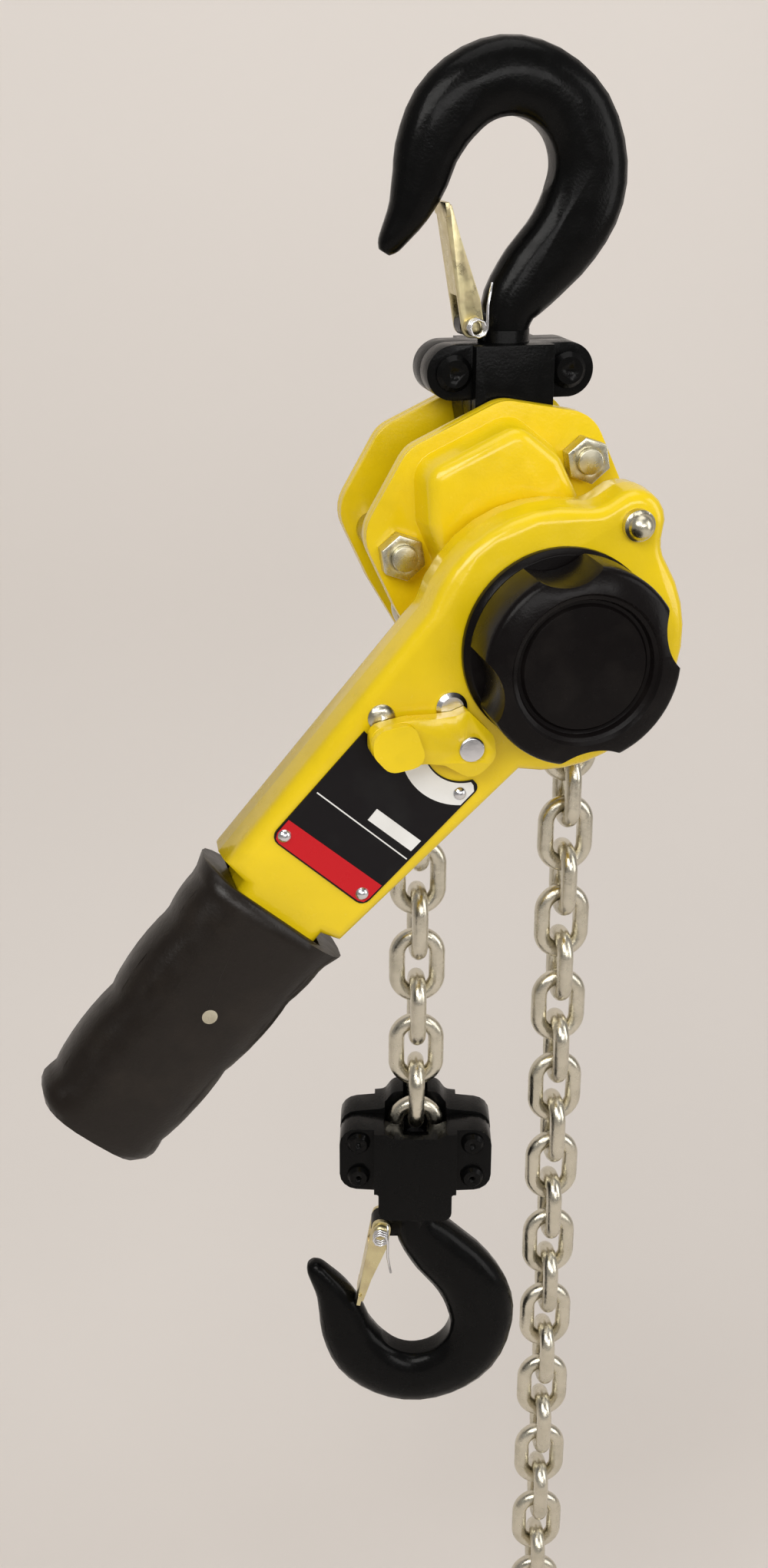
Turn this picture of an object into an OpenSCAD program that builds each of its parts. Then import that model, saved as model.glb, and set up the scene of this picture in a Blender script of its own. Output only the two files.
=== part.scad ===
// Lever chain hoist, 1.5 tonne class, 7.1 x 21 mm load chain.
// +Z is up, the hand wheel faces -Y, and the chain and both hooks lie in the plane y = 0.
// The origin is the centre of the top hook's bowl.

/* [Chain] */
// Diameter of the chain's wire
chain_wire = 7.1; // [6.3:0.1:7.5]
// Inside length of one link, the chain's pitch
chain_pitch = 21; // [20:0.5:22]
// Inside width of one link
link_gap = 10.5; // [10:0.1:11]
// Straight links between the sheave and the load block
load_links = 12; // [8:2:18]
// Straight links on the slack side
slack_links = 27; // [19:2:41]
// Turn of the load block about its chain, seen from above
load_turn = -14; // [-20:1:20]

/* [Hooks] */
// Radius of both hooks' bowls
bowl_r = 17.5; // [16:0.5:19]
// Thickness of both hooks across the bowl
hook_thick = 21; // [18:1:24]
// Radius of a hook's shank
shank_r = 10; // [9:0.5:10.5]
// Radius of the head that holds a hook in its swivel
shank_head_r = 13; // [12.5:0.5:14]
// Distance from the bowl's centre down to the end of the shank
shank_drop = 88; // [86:0.5:90]
// Wall of a latch
latch_wall = 1.8; // [1.4:0.2:2.2]

/* [Frame] */
// Height of the top hook's bowl above the load sheave's axis
bowl_to_sheave = 167; // [165:1:172]
// Sideways distance from the top hook to the load sheave's axis
sheave_x = 2; // [0:0.5:4]
// Angle at which the frame hangs, because of the lever's weight
frame_lean = 25; // [20:1:28]
// Sideways distance from the sheave's axis to the plates' centre line
plate_shift = 6.4; // [5:0.2:8]
// Clear gap between the two side plates
plate_gap = 37; // [36:0.5:38]
// Thickness of a side plate
plate_t = 5; // [4:0.5:6]
// Height of the suspension pin above the sheave's axis
pin_height = 61; // [60:0.5:64]
// Radius of the suspension pin
suspension_r = 7; // [6:0.5:8]
// Distance of each upper stay bolt from the plates' centre line
stay_side = 40.4; // [39:0.2:42]
// Height of the upper stay bolts in the plates
stay_up = 44.8; // [43:0.2:47]
// Wall of the pressed covers
cover_wall = 2.5; // [2:0.25:3]
// Depth of the brake cover in front of its side plate
brake_cover_d = 18.5; // [18:0.5:20]
// Depth of the gear cover behind its side plate
gear_cover_d = 34; // [32:1:38]

/* [Gears and brake] */
// Pockets round the load sheave
sheave_pockets = 5; // [5:1:5]
// Distance from the sheave's axis to each disc gear's axis
gear_centre = 30; // [29.5:0.25:30.5]
// Direction of the line through the disc gears' axes, in the frame
gear_line = 82; // [78:1:86]
// Radius of the drive shaft
shaft_r = 7; // [6.5:0.25:7.25]
// Teeth of the ratchet disc
ratchet_teeth = 16; // [16:1:16]
// Tip radius of the ratchet disc
ratchet_r = 34; // [33:0.25:34.5]

/* [Lever] */
// Direction of the lever, counter-clockwise from +X
lever_angle = 229.5; // [220:0.5:240]
// Radius of the lever's round head
head_r = 52; // [50:0.5:54]
// Thickness of the lever's two shells together
lever_d = 28; // [26:1:30]
// Distance from the sheave's axis to the mouth of the grip
grip_start = 147; // [140:1:155]
// Length of the grip
grip_l = 115; // [110:1:120]
// Half the grip's width at its end
grip_half = 27; // [25:0.5:29]
// Distance from the sheave's axis to the lobe bolt
lobe_bolt = 53; // [51:0.5:55]

/* [Hand wheel] */
// Radius of the hand wheel
wheel_r = 37.5; // [36:0.5:39]
// Thickness of the hand wheel
wheel_t = 26; // [24:0.5:28]
// Radius of the black ring behind the hand wheel
ring_r = 38; // [37:0.5:39]

/* [Load block] */
// Width of the load block
block_w = 68; // [66:1:72]
// Height of the load block
block_h = 31; // [29:1:33]
// Depth of the load block
block_d = 36; // [34:1:38]

/* [Fits] */
// Radial clearance of every running fit
fit = 0.08; // [0.05:0.01:0.1]
// Gap between neighbouring pieces that don't touch
gap = 0.3; // [0.3:0.05:0.4]

/* [Hidden] */

// Colours of the finishes
yellow = "gold";
black = "#202020";
zinc = "lightgray";
gold_zinc = "#c8b464";
steel = "gray";

// ---- Small helpers ----

function polar(r, a) = [r * cos(a), r * sin(a)];
function arc(c, r, a0, a1, n) = [for (i = [0:n]) c + polar(r, a0 + (a1 - a0) * i / n)];
function turn(p, a) = [p.x * cos(a) - p.y * sin(a), p.x * sin(a) + p.y * cos(a)];
function unit(v) = v / norm(v);
function mix(a, b, t) = a + (b - a) * t;
function smooth(t) = t * t * (3 - 2 * t);

// One corner of a polygon as an arc of radius r between the edges a-b and b-c
function corner(a, b, c, r, n) =
    let (u = unit(a - b), v = unit(c - b), half = acos(u * v) / 2,
         centre = b + unit(u + v) * r / sin(half),
         p = b + u * r / tan(half), q = b + v * r / tan(half),
         a0 = atan2(p.y - centre.y, p.x - centre.x),
         a1 = atan2(q.y - centre.y, q.x - centre.x),
         sweep = a1 - a0 > 180 ? a1 - a0 - 360 : a1 - a0 < -180 ? a1 - a0 + 360 : a1 - a0)
    arc(centre, r, a0, a0 + sweep, n);

// A polygon with rounded corners; each corner is [x, y, radius]
function rounded(pts, n = 5) =
    let (m = len(pts))
    [for (i = [0:m - 1])
        let (a = pts[(i + m - 1) % m], b = pts[i], c = pts[(i + 1) % m])
        each corner([a.x, a.y], [b.x, b.y], [c.x, c.y], b.z, n)];

// A counter-clockwise outline moved inwards by d
function inset(pts, d) =
    let (m = len(pts))
    [for (i = [0:m - 1])
        let (a = pts[(i + m - 1) % m], b = pts[i], c = pts[(i + 1) % m],
             u = unit(b - a), v = unit(c - b), k = unit(u + v), s = max(0.5, k * u))
        b + [-k.y, k.x] * d / s];

// Closed skin through rings of equal length; the first and last ring are the end faces
// Each ring runs counter-clockwise when the skin's last ring faces the eye
module skin(rings) {
    n = len(rings[0]);
    m = len(rings);
    polyhedron(
        points = [for (ring = rings) each ring],
        faces = concat(
            [[for (i = [0:n - 1]) i]],
            skin_sides(n, m),
            [[for (i = [n - 1:-1:0]) (m - 1) * n + i]]),
        convexity = 6);
}

// The same, with each end face drawn as a fan about a point inside it
module fanned_skin(rings, first, last) {
    n = len(rings[0]);
    m = len(rings);
    polyhedron(
        points = concat([for (ring = rings) each ring], [first, last]),
        faces = concat(
            [for (i = [0:n - 1]) [n * m, i, (i + 1) % n]],
            skin_sides(n, m),
            [for (i = [0:n - 1]) [n * m + 1, (m - 1) * n + (i + 1) % n, (m - 1) * n + i]]),
        convexity = 6);
}

function skin_sides(n, m) = [for (j = [0:m - 2]) for (i = [0:n - 1])
    each [[j * n + i, (j + 1) * n + (i + 1) % n, j * n + (i + 1) % n],
          [j * n + i, (j + 1) * n + i, (j + 1) * n + (i + 1) % n]]];

// A counter-clockwise front-view outline at depth y, for a skin that runs towards -Y
function ring_at(pts, y) = [for (p = pts) [p.x, y, p.y]];
function flip(rings) = [for (ring = rings) [for (i = [len(ring) - 1:-1:0]) ring[i]]];

// A pressed form: an outline whose front shoulder is rounded with radius r
// It runs from the open edge at y_open to the closed face at y_face
function pressed(pts, y_open, y_face, draft, r, n = 4) =
    let (s = sign(y_face - y_open), flat = y_face - s * r)
    concat(
        [ring_at(pts, y_open), ring_at(inset(pts, draft), flat)],
        [for (i = [1:n]) ring_at(inset(pts, draft + r * (1 - cos(90 * i / n))), flat + s * r * sin(90 * i / n))]);

// A pressed cup: inner and outer forms joined at their open edge
function cup(outer, inner) = concat([for (i = [len(inner) - 1:-1:0]) inner[i]], outer);

// A slab between two depths, from a front-view outline
module slab(y0, y1) {
    translate([0, y1, 0]) rotate([90, 0, 0]) linear_extrude(y1 - y0) children();
}

// A round bar along Y
module rod(r, y0, y1, at = [0, 0]) {
    translate([at.x, y1, at.y]) rotate([90, 0, 0]) cylinder(r = r, h = y1 - y0, $fn = 48);
}

// A body turned about the Y axis; each profile point is [radius, distance towards -Y]
module turned(profile, at = [0, 0]) {
    translate([at.x, 0, at.y]) rotate([90, 0, 0]) rotate_extrude($fn = 64) polygon(profile);
}

module hexagon(across) {
    circle(r = across / sqrt(3), $fn = 6);
}

// ---- Frames of reference ----

module at_sheave() {
    translate([sheave_x, 0, -bowl_to_sheave]) children();
}

// The frame's own axes: x across the plates, z up their centre line, from the sheave's axis
module in_frame() {
    at_sheave() rotate([0, -frame_lean, 0]) children();
}

// The lever's own axes: x along the lever, z across it
module in_lever() {
    at_sheave() rotate([0, -lever_angle, 0]) children();
}

// ---- Chain ----

link_play = 0.25;
link_w = link_gap + 2 * chain_wire;
bow_r = (link_gap + chain_wire) / 2;
wire_half = (chain_pitch + link_play + chain_wire) / 2;
bow_back = wire_half - bow_r;
play = bow_r - chain_wire;
step = 180 / sheave_pockets;
// Radius of the link centres on the sheave, for links standing on edge and links lying flat
stand_r = (wire_half + bow_back * cos(step) + 0.75 * play) / sin(step);
flat_r = stand_r * cos(step) + bow_back * sin(step) + 0.25 * play;
// Angles of the first and last link on the sheave, both standing on edge
left_angle = 174;
right_angle = left_angle - 4 * step;
hang_play = play - link_play;
function bow_end(a, s) = polar(stand_r, a) + s * polar(bow_back, a + 90);
left_bow = bow_end(left_angle, 1);
right_bow = bow_end(right_angle, -1);
left_x = left_bow.x;
right_x = right_bow.x;
// Centre height of straight link i on each side, from the sheave's axis
function left_z(i) = left_bow.y - hang_play - wire_half - i * chain_pitch;
function right_z(i) = right_bow.y - hang_play - wire_half - i * chain_pitch;

// One link, long axis along Z, lying in the plane y = 0
module link() {
    straight = 2 * bow_back;
    for (s = [-1, 1]) {
        translate([s * bow_r, 0, -straight / 2]) cylinder(d = chain_wire, h = straight, $fn = 32);
        translate([0, 0, s * straight / 2]) rotate([s * 90, 0, 0])
            rotate_extrude(angle = 180, $fn = 48) translate([bow_r, 0]) circle(d = chain_wire, $fn = 32);
    }
}

// A straight run of links; even links lie flat, and the run twists evenly to its last link
module run(x, z_of, first, last, twist, total) {
    for (i = [first:last])
        translate([x, 0, z_of(i)]) rotate([0, 0, twist * i / total + (i % 2 == 0 ? 90 : 0)]) link();
}

slack_turn = -10;

module chain_on_sheave() {
    color(zinc) at_sheave() {
        for (k = [0:4]) {
            a = left_angle - k * step;
            c = polar(k % 2 == 0 ? stand_r : flat_r, a);
            translate([c.x, 0, c.y]) rotate([0, -a, 0]) rotate([0, 0, k % 2 == 0 ? 0 : 90]) link();
        }
        run(left_x, function(i) left_z(i), 0, 1, load_turn, load_links);
        run(right_x, function(i) right_z(i), 0, 1, slack_turn, slack_links);
    }
}

load_split = 6;
slack_split = [8, 17];

module load_chain_upper() {
    color(zinc) at_sheave() run(left_x, function(i) left_z(i), 2, load_split, load_turn, load_links);
}

module load_chain_lower() {
    color(zinc) at_sheave() run(left_x, function(i) left_z(i), load_split + 1, load_links - 1, load_turn, load_links);
}

module slack_chain_upper() {
    color(zinc) at_sheave() run(right_x, function(i) right_z(i), 2, slack_split[0], slack_turn, slack_links);
}

module slack_chain_middle() {
    color(zinc) at_sheave()
        run(right_x, function(i) right_z(i), slack_split[0] + 1, slack_split[1], slack_turn, slack_links);
}

module slack_chain_lower() {
    color(zinc) at_sheave()
        run(right_x, function(i) right_z(i), slack_split[1] + 1, slack_links - 1, slack_turn, slack_links);
}

// Oversize ring that stops the chain's free end at the sheave
end_wire = 8;
end_bow = 15;

module chain_end_ring() {
    low = right_z(slack_links - 1) - wire_half;
    color(zinc) at_sheave() translate([right_x, 0, low + chain_wire / 2 + end_wire / 2 + gap - end_bow])
        rotate([0, 0, slack_turn]) rotate([90, 0, 0])
            rotate_extrude($fn = 64) translate([end_bow, 0]) circle(d = end_wire, $fn = 32);
}

// ---- Hooks ----

// Stations along a hook's centre line: [x, z, half width, half thickness as a share of hook_thick]
hook_stations = [
    [0, -64.4, 8.8, 0.42], [0.5, -57, 9.6, 0.46], [3, -49.5, 11.6, 0.48], [11.5, -39, 14, 0.49],
    [22.5, -27, 15, 0.5], [30, -13, 15.9, 0.5], [31.5, 1.5, 15.5, 0.5], [26, 17, 15, 0.5],
    [14.5, 27.2, 14.7, 0.5], [0.5, 31.2, 14.7, 0.5], [-13, 28.2, 14.5, 0.49], [-24.2, 19.4, 14.2, 0.48],
    [-31.2, 7, 12.4, 0.46], [-34.4, -5, 10.6, 0.42], [-38.4, -15.5, 8, 0.36], [-43.6, -24, 5.6, 0.29],
    [-46.4, -28.4, 4.3, 0.22],
    [-47.9, -30.8, 2.3, 0.12]
];

function spline(p0, p1, p2, p3, t) =
    0.5 * (2 * p1 + (p2 - p0) * t + (2 * p0 - 5 * p1 + 4 * p2 - p3) * t * t
        + (3 * p1 - p0 - 3 * p2 + p3) * t * t * t);
function along(list, t) =
    let (m = len(list) - 1, i = min(m - 1, floor(t)), f = t - i)
    spline(list[max(0, i - 1)], list[i], list[i + 1], list[min(m, i + 2)], f);

// One section of the hook: an oval that is fuller on the bowl's side
hook_sides = 16;
function hook_ring(t) =
    let (s = along(hook_stations, t), ahead = along(hook_stations, min(t + 0.05, len(hook_stations) - 1)),
         behind = along(hook_stations, max(t - 0.05, 0)),
         dir = unit([ahead[0] - behind[0], ahead[1] - behind[1]]), side = [dir.y, -dir.x])
    [for (k = [0:hook_sides - 1])
        let (a = 360 * k / hook_sides, c = cos(a), q = sin(a),
             w = s[2] * sign(c) * pow(abs(c), 0.85), h = s[3] * hook_thick * sign(q) * pow(abs(q), 0.85))
        [s[0] + side.x * w, h, s[1] + side.y * w]];

hook_steps = 46;

// A hook with its bowl at the origin, opening to -X, shank down along -Z
module hook(lug, drop) {
    difference() {
        union() {
            skin([for (i = [0:hook_steps]) hook_ring((len(hook_stations) - 1) * i / hook_steps)]);
            translate([0, 0, -drop]) cylinder(r = shank_r, h = drop - 60, $fn = 64);
            translate([0, 0, -drop]) cylinder(r = shank_head_r, h = shank_head_h, $fn = 64);
            translate([lug.x, 0, lug.y]) rotate([90, 0, 0]) cylinder(r = lug_r, h = lug_w, center = true, $fn = 40);
            translate([lug.x, -lug_w / 2, lug.y - lug_r]) cube([-lug.x, lug_w, 2 * lug_r]);
        }
        turned([[0, -seat_reach], [bowl_r + seat_flare, -seat_reach], [bowl_r, -seat_w / 2],
            [bowl_r, seat_w / 2], [bowl_r + seat_flare, seat_reach], [0, seat_reach]]);
        translate([lug.x, 0, lug.y]) rotate([90, 0, 0])
            cylinder(r = latch_pin_r, h = 2 * hook_thick, center = true, $fn = 32);
    }
}

shank_head_h = 8;
// Width of the worn, truly round seat in the bowl
seat_w = 8;
// The seat's flared mouths, so that a pin slides in
seat_flare = 0.7;
seat_reach = 9;
lug_r = 4.5;
lug_w = 9;
latch_pin_r = 2.2;
// Latch pins, from the bowl's centre in the hook's own axes
top_lug = [-14.5, -58];
load_lug = [-15.5, -53];
// Where each latch's tip rests against the hook's point
latch_tip = [-22.6, -12];

// A latch pressed from sheet: a channel that straddles the lug and closes the throat
module latch(lug) {
    v = latch_tip - lug;
    reach = norm(v);
    lean = atan2(v.y, v.x);
    inner = lug_w / 2 + gap;
    back = 4.2;
    translate([lug.x, 0, lug.y]) rotate([0, -lean, 0]) difference() {
        union() {
            for (s = [-1, 1]) translate([0, s * (inner + latch_wall / 2), 0]) rotate([90, 0, 0])
                linear_extrude(latch_wall, center = true) latch_cheek(reach, back);
            translate([12, -inner - latch_wall, back - latch_wall]) cube([reach - 12, 2 * (inner + latch_wall), latch_wall]);
            translate([reach - 5, -inner - latch_wall - 2, back - latch_wall]) cube([5, 2 * (inner + latch_wall + 2), latch_wall]);
        }
        rotate([90, 0, 0]) cylinder(r = latch_pin_r + fit, h = 4 * lug_w, center = true, $fn = 32);
    }
}

module latch_cheek(reach, back) {
    polygon(rounded([
        [-4.6, -4.6, 4.2], [9, -4.6, 3], [reach - 14, -0.5, 6], [reach - 1, back - 3, 1],
        [reach - 1, back, 0.4], [-4.6, back, 3.6]], 4));
}

// The latch's pin: a rivet with a domed head on each side
module latch_pin(lug) {
    half = lug_w / 2 + gap + latch_wall + 0.1;
    translate([lug.x, 0, lug.y]) {
        rod(latch_pin_r, -half - 0.5, half + 0.5);
        for (s = [-1, 1]) translate([0, s * half, 0]) rotate([s * 90 + 180, 0, 0])
            rotate_extrude($fn = 40) polygon(concat([[0, 0]], arc([1.4, 0.6], 2.3, -15, 90, 5), [[0, 2.9]]));
    }
}

spring_wire = 1.1;
spring_turns = 3;
spring_r = latch_pin_r + spring_wire / 2 + 0.5;

module top_hook() {
    color(black) hook(top_lug, shank_drop);
}

module top_latch() {
    color(gold_zinc) latch(top_lug);
}

module top_latch_pin() {
    color(gold_zinc) latch_pin(top_lug);
}

module top_latch_spring() {
    color(steel) latch_spring(top_lug);
}

// A tube swept along a list of points, with 6 sides
module wire(pts, r) {
    m = len(pts) - 1;
    skin([for (i = [0:m])
        let (d = unit(pts[min(i + 1, m)] - pts[max(i - 1, 0)]),
             u = unit(cross(d, abs(d.y) > 0.9 ? [1, 0, 0] : [0, 1, 0])), v = cross(d, u))
        [for (k = [0:5]) pts[i] + r * (cos(60 * k) * u + sin(60 * k) * v)]]);
}

// Least gap between a spring's turns: points of one wire that lie a turn or so apart, less its thickness
function least_gap(pts, wire_d, ahead) =
    min([for (i = [0:len(pts) - 1 - ahead]) for (j = [i + ahead:len(pts) - 1]) norm(pts[i] - pts[j])]) - wire_d;

// The latch's spring lies beside the lug, with one leg up the shank
spring_pitch = 1.6 * spring_wire;
spring_leg = 17;
spring_side = lug_w / 2 + gap + latch_wall + 3.6;
latch_spring_path = concat(
    [[spring_r + 1.5, -spring_side - spring_pitch * spring_turns, spring_leg],
     [spring_r, -spring_side - spring_pitch * spring_turns, spring_leg * 0.5]],
    [for (i = [0:8 * spring_turns])
        [spring_r * cos(45 * i), -spring_side - spring_pitch * (spring_turns - i / 8), -spring_r * sin(45 * i)]],
    [[spring_r, -spring_side, -spring_leg * 0.3]]);
echo(str("latch springs, least gap to itself in mm: ", least_gap(latch_spring_path, spring_wire, 6)));

module latch_spring(lug) {
    translate([lug.x, 0, lug.y]) wire(latch_spring_path, spring_wire / 2);
}

// ---- Top yoke ----

yoke_half = plate_gap / 2 - 2;
yoke_w = 32;
yoke_top = 102;
ear_x = 23;
ear_z = 92;
ear_r = 10.5;
head_z = bowl_to_sheave - shank_drop;
lug_end_r = suspension_r + 6;
split = 0.1;
yoke_x = -sheave_x;

module yoke_outline() {
    translate([0, pin_height]) circle(r = lug_end_r, $fn = 64);
    polygon(rounded([[-lug_end_r, pin_height, 0.5], [lug_end_r, pin_height, 0.5], [yoke_w / 2, ear_z - ear_r - 4, 3],
        [yoke_w / 2, yoke_top, 3], [-yoke_w / 2, yoke_top, 3], [-yoke_w / 2, ear_z - ear_r - 4, 3]], 3));
    for (s = [-1, 1]) translate([s * ear_x, ear_z]) circle(r = ear_r, $fn = 48);
    translate([-ear_x, ear_z - ear_r]) square([2 * ear_x, 2 * ear_r]);
}

// Half a yoke; s is -1 for the front half and 1 for the rear one
module yoke_body(s) {
    at_sheave() translate([yoke_x, 0, 0]) difference() {
        slab(s < 0 ? -yoke_half : split, s < 0 ? -split : yoke_half) difference() {
            yoke_outline();
            for (e = [-1, 1]) translate([e * ear_x, ear_z]) circle(r = ear_hole_r, $fn = 32);
        }
        rod(suspension_r + fit, -yoke_half - 1, yoke_half + 1, [0, pin_height]);
        translate([0, 0, head_z - gap]) cylinder(r = shank_head_r + fit, h = shank_head_h + 2 * gap, $fn = 64);
        translate([0, 0, head_z]) cylinder(r = shank_r + fit, h = yoke_top, $fn = 64);
        // The ears are thinner than the block
        for (e = [-1, 1])
            translate([e > 0 ? ear_x - ear_head_r - 0.3 : -ear_x + ear_head_r + 0.3 - 2.5 * ear_r, s < 0 ? -yoke_half - 1 : ear_half, ear_z - 2 * ear_r])
                cube([2.5 * ear_r, yoke_half + 1 - ear_half, 4 * ear_r]);
    }
}

ear_half = 11;
ear_head_r = 7;
ear_hole_r = 5;

module yoke_front() {
    color(black) yoke_body(-1);
}

module yoke_rear() {
    color(black) yoke_body(1);
}

// A round-headed bolt along Y with a dimpled head in front and a plain one behind
module dimpled_bolt(r, head_r, half, at) {
    profile = concat([[0, -half - head_h], [head_r * 0.7, -half - head_h], [head_r, -half - head_h * 0.5], [head_r, -half], [r, -half],
        [r, half], [head_r, half], [head_r, half + head_h * 0.4], [head_r * 0.75, half + head_h],
        [head_r * 0.3, half + head_h], [0, half + head_h * 0.45]]);
    turned(profile, at);
}

head_h = 3;

module yoke_bolts() {
    color(black) at_sheave() for (e = [-1, 1])
        dimpled_bolt(ear_hole_r, ear_head_r, ear_half, [yoke_x + e * ear_x, ear_z]);
}

// ---- Frame ----

plate_in = plate_gap / 2;
plate_out = plate_in + plate_t;
bearing_out = 18;
journal_r = 13;
stay_r = 5;

// Outline of the side plates, about the plates' centre line
plate_corners = [
    [-20.5, 80, 14], [-50.8, 58.5, 16], [-50.8, 26, 20], [-43, -58, 16],
    [0, -71, 18], [42, -24, 24], [50.8, 26, 24], [50.8, 58.5, 16], [20.5, 80, 14]
];
plate_outline = [for (p = rounded(plate_corners, 5)) [p.x + plate_shift, p.y]];

// The pin's place in the frame's leaning axes
pin_at = turn([yoke_x, pin_height], -frame_lean);
lower_stay = turn([0, -50], -frame_lean);
stays = [[plate_shift - stay_side, stay_up], [plate_shift + stay_side, stay_up], lower_stay];

module plate_holes() {
    translate(pin_at) circle(r = suspension_r, $fn = 64);
    for (p = stays) translate(p) circle(r = stay_r, $fn = 32);
}

module front_side_plate() {
    color(yellow) in_frame() slab(-plate_out, -plate_in) difference() {
        polygon(plate_outline);
        plate_holes();
        circle(r = bearing_out, $fn = 64);
        for (p = pawl_pivots) translate(p) circle(r = pawl_pin_r, $fn = 24);
    }
}

module rear_side_plate() {
    color(yellow) in_frame() slab(plate_in, plate_out) difference() {
        polygon(plate_outline);
        plate_holes();
        circle(r = bearing_out, $fn = 64);
        for (s = [-1, 1]) translate(s * polar(gear_centre, gear_line)) circle(r = disc_pin_r + fit, $fn = 32);
    }
}

module suspension_pin() {
    color(steel) in_frame() rod(suspension_r, -plate_out, plate_out, pin_at);
}

// Stays: a thick middle between the plates, and threaded ends
stay_mid_r = 7;
nut_h = 7;
stay_front = plate_out + cover_wall + nut_h + 2.5;

module stay_bolts() {
    color(gold_zinc) in_frame() for (i = [0:2]) {
        front = i < 2 ? stay_front : plate_out + cover_wall + nut_h;
        rod(stay_r, -front, plate_out + nut_h + (i < 2 ? cover_wall + 1 : 0.6), stays[i]);
        rod(stay_mid_r, -plate_in, plate_in, stays[i]);
    }
}

module nut(y0, y1, at) {
    slab(y0, y1) translate(at) difference() {
        rotate(15) hexagon(16);
        circle(r = stay_r, $fn = 32);
    }
}

module stay_nuts() {
    near = plate_out + cover_wall;
    color(gold_zinc) in_frame() for (i = [0:2]) {
        // The lower stay's rear nut sits inside the gear cover, on the plate itself
        rear = i < 2 ? near : plate_out;
        nut(-near - nut_h, -near, stays[i]);
        nut(rear, rear + nut_h, stays[i]);
    }
}

module bearing(y0, y1) {
    slab(y0, y1) difference() {
        circle(r = bearing_out, $fn = 64);
        circle(r = journal_r + fit, $fn = 64);
    }
}

module sheave_bearings() {
    color(steel) at_sheave() {
        bearing(-plate_out, -plate_in);
        bearing(plate_in, plate_out);
    }
}

// ---- Load sheave ----

sheave_half = plate_in - 1.2;
sheave_r = stand_r + 7;
groove_r = stand_r - link_w / 2 - gap;
groove_half = chain_wire / 2 + 1.2;
pocket_play = 0.35;

// The flat space that one link takes up, long axis along Z and width along Y
module link_space(t) {
    w = link_w / 2 + pocket_play;
    rotate([0, 90, 0]) linear_extrude(t, center = true) {
        for (s = [-1, 1]) translate([s * bow_back, 0]) circle(r = w, $fn = 48);
        square([2 * bow_back, 2 * w], center = true);
    }
}

module load_sheave() {
    thick = chain_wire + 2 * pocket_play;
    open = 20;
    color(steel) at_sheave() difference() {
        union() {
            turned([[shaft_r + fit, -sheave_half], [sheave_r, -sheave_half], [sheave_r, -groove_half - 1.5],
                [groove_r, -groove_half], [groove_r, groove_half], [sheave_r, groove_half + 1.5],
                [sheave_r, sheave_half], [shaft_r + fit, sheave_half]]);
            turned([[shaft_r + fit, -slow_y - slow_w], [hub_r, -slow_y - slow_w], [hub_r, -plate_out], [journal_r, -plate_out],
                [journal_r, plate_out], [shaft_r + fit, plate_out]]);
        }
        for (k = [0:sheave_pockets - 1]) rotate([0, -2 * step * k, 0]) {
            // Seat of a link lying flat, open outwards
            rotate([0, -(left_angle - step), 0]) translate([flat_r - thick / 2 + open / 2, 0, 0]) link_space(open);
            // Room for a link that swings in or out
            translate([left_x, 0, left_z(0)]) link_space(thick);
            translate([right_x, 0, right_z(0)]) link_space(thick);
        }
    }
}

hub_r = 11;

// The stripper keeps links from jamming under the sheave
module chain_stripper() {
    half = groove_half - 0.8;
    side = min(-left_x, right_x) - link_w / 2 - 1.4;
    color(steel) at_sheave() slab(-half, half) difference() {
        polygon(rounded([[-side, -56, 3], [side, -56, 3], [side, -30, 4], [side - 5, -12, 2], [-side + 5, -12, 2], [-side, -30, 4]], 4));
        circle(r = groove_r + 1, $fn = 64);
        translate([0, -50]) circle(r = stay_mid_r, $fn = 40);
    }
}

// ---- Gear train ----

// Involute gear outline with z teeth of module m, thinned by the backlash
function involute(rb, a) = rb * sqrt(1 + pow(a * PI / 180, 2));
function gear_outline(z, m, slack = 0.55, pressure = 25, n = 3) =
    let (r = m * z / 2, rb = r * cos(pressure), ra = r + m * 0.74, rf = max(r - m * 1.15, 0.6 * r),
         inv = tan(pressure) * 180 / PI - pressure,
         half = 90 / z - slack / r * 90 / PI,
         r0 = max(rb, rf),
         flank = [for (i = [0:n]) let (q = mix(r0, ra, i / n), ang = acos(min(1, rb / q)))
             [q, half + inv - (tan(ang) * 180 / PI - ang)]])
    [for (k = [0:z - 1]) let (a = 360 * k / z)
        each concat([polar(rf, a - flank[0][1] - 10 / z)],
            [for (f = flank) polar(f[0], a - f[1])],
            [for (i = [n:-1:0]) polar(flank[i][0], a + flank[i][1])],
            [polar(rf, a + flank[0][1] + 10 / z)])];

drive_teeth = 12;
disc_teeth = 36;
pinion_teeth = 10;
load_teeth = 30;
fast_module = 2 * gear_centre / (drive_teeth + disc_teeth);
slow_module = 2 * gear_centre / (pinion_teeth + load_teeth);
disc_pin_r = 4;
slow_y = plate_out + 0.6;
slow_w = 11;
fast_y = slow_y + slow_w + 0.6;
fast_w = 9;

module load_gear() {
    color(steel) in_frame() slab(slow_y, slow_y + slow_w) difference() {
        rotate(gear_line + 180 / load_teeth) polygon(gear_outline(load_teeth, slow_module));
        circle(r = hub_r, $fn = 48);
    }
}

// A disc gear: a large thin wheel and a small pinion on one spindle
module disc_gear(s) {
    at = s * polar(gear_centre, gear_line);
    in_frame() {
        slab(slow_y, slow_y + slow_w + 0.6) translate(at)
            rotate(s > 0 ? gear_line + 180 : gear_line) polygon(gear_outline(pinion_teeth, slow_module));
        slab(fast_y, fast_y + fast_w - 2) translate(at)
            rotate(gear_line) polygon(gear_outline(disc_teeth, fast_module));
        rod(disc_pin_r, plate_in + 0.5, fast_y + fast_w + 4, at);
    }
}

module upper_disc_gear() {
    color(steel) disc_gear(1);
}

module lower_disc_gear() {
    color(steel) disc_gear(-1);
}

shaft_end = fast_y + fast_w + 4;
thread_r = 6;

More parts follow.
